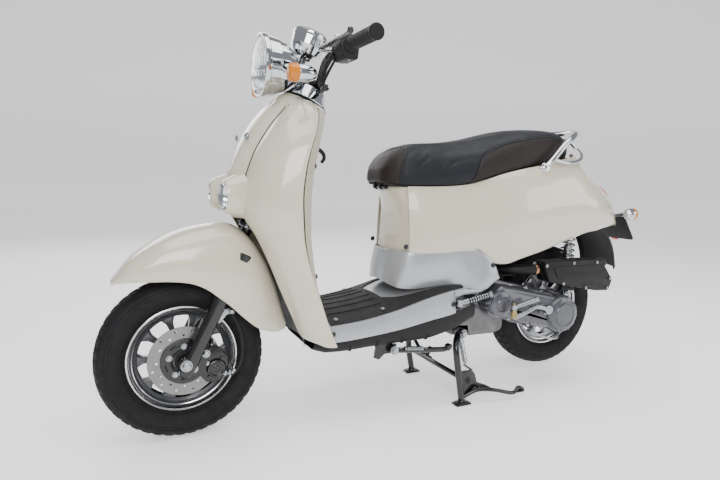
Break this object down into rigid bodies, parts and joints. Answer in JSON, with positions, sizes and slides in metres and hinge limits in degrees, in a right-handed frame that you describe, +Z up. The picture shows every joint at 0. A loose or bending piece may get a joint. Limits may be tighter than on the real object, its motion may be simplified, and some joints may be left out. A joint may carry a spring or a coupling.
{
  "type": "moped scooter",
  "caption": "Retro step-through moped scooter with chrome headlight, cream bodywork, long seat and centre stand",
  "frame": {"origin": "middle of the bounding box on the ground plane, under the step-through floor's rear edge", "axes": "+X forward along the vehicle, +Y to the rider's left, +Z up; wheels and stand feet rest on Z = 0"},
  "size_m": [1.7778, 0.7, 1.0612],
  "materials": {
    "frame_black": "satin",
    "cream_paint": "gloss",
    "silver_paint": "satin",
    "bright_chrome": "polished",
    "black_plastic": "satin",
    "tank_steel": "satin",
    "clear_lens": "gloss",
    "lamp_plastic": "gloss",
    "red_lens": "gloss",
    "mat_rubber": "matte",
    "grip_rubber": "satin",
    "seat_cover": "satin",
    "tyre_rubber": "matte",
    "grey_rim": "satin",
    "silver_rim": "satin",
    "disc_steel": "satin",
    "engine_alloy": "satin",
    "black_alloy": "satin",
    "cover_grey": "gloss",
    "zinc_steel": "satin",
    "spring_steel": "gloss",
    "red_button": "satin",
    "yellow_button": "satin"
  },
  "bodies": {
    "chassis": {"main_frame": "frame_black", "leg_shield": "cream_paint", "centre_cowl": "cream_paint", "inner_shield": "cream_paint", "shield_lamps": "lamp_plastic", "stem_collar": "bright_chrome", "floor_board": "silver_paint", "floor_mat": "mat_rubber", "under_panels": "black_plastic", "under_seat_panel": "cream_paint", "side_panels": "cream_paint", "lower_cover": "silver_paint", "rear_lamps": "red_lens", "rear_mudguard": "black_plastic", "grab_rail": "bright_chrome", "storage_box": "black_plastic", "fuel_tank": "tank_steel", "battery": "black_plastic", "panel_screws": "zinc_steel", "shock_body": "frame_black", "shock_spring": "spring_steel"},
    "fuel_cap": {"fuel_cap": "black_plastic"},
    "saddle": {"seat_pan": "black_plastic", "seat_cushion": "seat_cover"},
    "ignition_key": {"ignition_key": "zinc_steel"},
    "steering": {"steering_stem": "frame_black", "handlebar": "frame_black", "headlight_bucket": "bright_chrome", "headlight_lens": "clear_lens", "instrument_pod": "bright_chrome", "front_signals": "bright_chrome", "switch_block": "black_plastic", "throttle_housing": "black_plastic", "left_grip": "grip_rubber", "lever_perches": "bright_chrome", "control_cables": "grip_rubber", "front_fender": "cream_paint"},
    "throttle": {"throttle_grip": "grip_rubber"},
    "left_brake_lever": {"brake_lever_left": "zinc_steel"},
    "right_brake_lever": {"brake_lever_right": "zinc_steel"},
    "horn_button": {"horn_button": "red_button"},
    "starter_button": {"starter_button": "yellow_button"},
    "fork_slider": {"fork_lowers": "black_alloy", "brake_caliper": "black_alloy"},
    "front_wheel": {"front_rim": "grey_rim", "front_tyre": "tyre_rubber", "brake_disc": "disc_steel"},
    "swing_unit": {"engine_case": "engine_alloy", "cvt_cover": "cover_grey", "air_filter_box": "black_plastic", "exhaust": "frame_black"},
    "rear_wheel": {"rear_rim": "silver_rim", "rear_tyre": "tyre_rubber"},
    "kick_lever": {"kick_lever": "zinc_steel"},
    "kick_pedal": {"kick_pedal": "zinc_steel"},
    "shock_rod": {"shock_rod": "zinc_steel"},
    "centre_stand": {"centre_stand": "frame_black"},
    "side_stand": {"side_stand": "frame_black"},
    "left_peg": {"peg_left": "zinc_steel"},
    "right_peg": {"peg_right": "zinc_steel"}
  },
  "joints": [
    {"name": "steer", "type": "hinge", "parent": "chassis", "child": "steering", "pos_m": [0.66922, 0, 0.20274], "axis": [-0.4384, 0, 0.8988], "range_deg": [-32, 32]},
    {"name": "fork_travel", "type": "slide", "parent": "steering", "child": "fork_slider", "axis": [-0.4384, 0, 0.8988], "range_m": [0, 0.06], "stiffness_N_per_m": 8000, "springref_m": -0.05},
    {"name": "front_spin", "type": "hinge", "parent": "fork_slider", "child": "front_wheel", "pos_m": [0.68, 0, 0.208], "axis": [0, 1, 0], "continuous": true},
    {"name": "swing", "type": "hinge", "parent": "chassis", "child": "swing_unit", "pos_m": [-0.105, 0, 0.3], "axis": [0, 1, 0], "range_deg": [0, 6], "stiffness_Nm_per_rad": 4300, "springref_deg": -3.44},
    {"name": "rear_spin", "type": "hinge", "parent": "swing_unit", "child": "rear_wheel", "pos_m": [-0.535, 0, 0.2405], "axis": [0, 1, 0], "continuous": true},
    {"name": "shock_travel", "type": "slide", "parent": "chassis", "child": "shock_rod", "axis": [0, 0, 1], "range_m": [0, 0.049], "deforming": ["shock_spring"]},
    {"name": "saddle_hinge", "type": "hinge", "parent": "chassis", "child": "saddle", "pos_m": [0.117, 0, 0.646], "axis": [0, 1, 0], "range_deg": [0, 75]},
    {"name": "centre_stand_pivot", "type": "hinge", "parent": "swing_unit", "child": "centre_stand", "pos_m": [-0.14, 0, 0.2], "axis": [0, 1, 0], "range_deg": [0, 55]},
    {"name": "side_stand_pivot", "type": "hinge", "parent": "chassis", "child": "side_stand", "pos_m": [0.131, 0, 0.196], "axis": [0, -1, 0], "range_deg": [0, 100]},
    {"name": "kick_shaft", "type": "hinge", "parent": "swing_unit", "child": "kick_lever", "pos_m": [-0.38, 0.195, 0.278], "axis": [0, 1, 0], "range_deg": [0, 70], "stiffness_Nm_per_rad": 2, "springref_deg": -45.84},
    {"name": "kick_pedal_fold", "type": "hinge", "parent": "kick_lever", "child": "kick_pedal", "pos_m": [-0.243, 0.197, 0.298], "axis": [0, 0, 1], "range_deg": [-90, 0]},
    {"name": "left_peg_fold", "type": "hinge", "parent": "chassis", "child": "left_peg", "pos_m": [-0.065, 0.171, 0.32], "axis": [0, 0, 1], "range_deg": [-90, 0]},
    {"name": "right_peg_fold", "type": "hinge", "parent": "chassis", "child": "right_peg", "pos_m": [-0.065, -0.171, 0.32], "axis": [0, 0, 1], "range_deg": [0, 90]},
    {"name": "throttle_twist", "type": "hinge", "parent": "steering", "child": "throttle", "pos_m": [0.312, -0.28, 0.985], "axis": [0, -1, 0], "range_deg": [0, 75], "stiffness_Nm_per_rad": 0.25, "springref_deg": -17.19},
    {"name": "left_lever_pivot", "type": "hinge", "parent": "steering", "child": "left_brake_lever", "pos_m": [0.357, 0.14, 0.985], "axis": [0, 0, 1], "range_deg": [0, 8.5], "stiffness_Nm_per_rad": 6, "springref_deg": -5.73},
    {"name": "right_lever_pivot", "type": "hinge", "parent": "steering", "child": "right_brake_lever", "pos_m": [0.357, -0.14, 0.985], "axis": [0, 0, -1], "range_deg": [0, 8.5], "stiffness_Nm_per_rad": 6, "springref_deg": -5.73},
    {"name": "horn_press", "type": "slide", "parent": "steering", "child": "horn_button", "axis": [1, 0, 0], "range_m": [0, 0.003], "stiffness_N_per_m": 500, "springref_m": -0.001},
    {"name": "starter_press", "type": "slide", "parent": "steering", "child": "starter_button", "axis": [1, 0, 0], "range_m": [0, 0.003], "stiffness_N_per_m": 500, "springref_m": -0.001},
    {"name": "key_turn", "type": "hinge", "parent": "chassis", "child": "ignition_key", "pos_m": [0.318, -0.062, 0.77], "axis": [-1, 0, 0], "range_deg": [0, 90]},
    {"name": "fuel_cap_turn", "type": "hinge", "parent": "chassis", "child": "fuel_cap", "pos_m": [-0.555, 0, 0.718], "axis": [0, 0, 1], "range_deg": [0, 90]}
  ],
  "couplings": [
    {"joint": "shock_travel", "follows": "swing", "m_per_rad": 0.465}
  ]
}
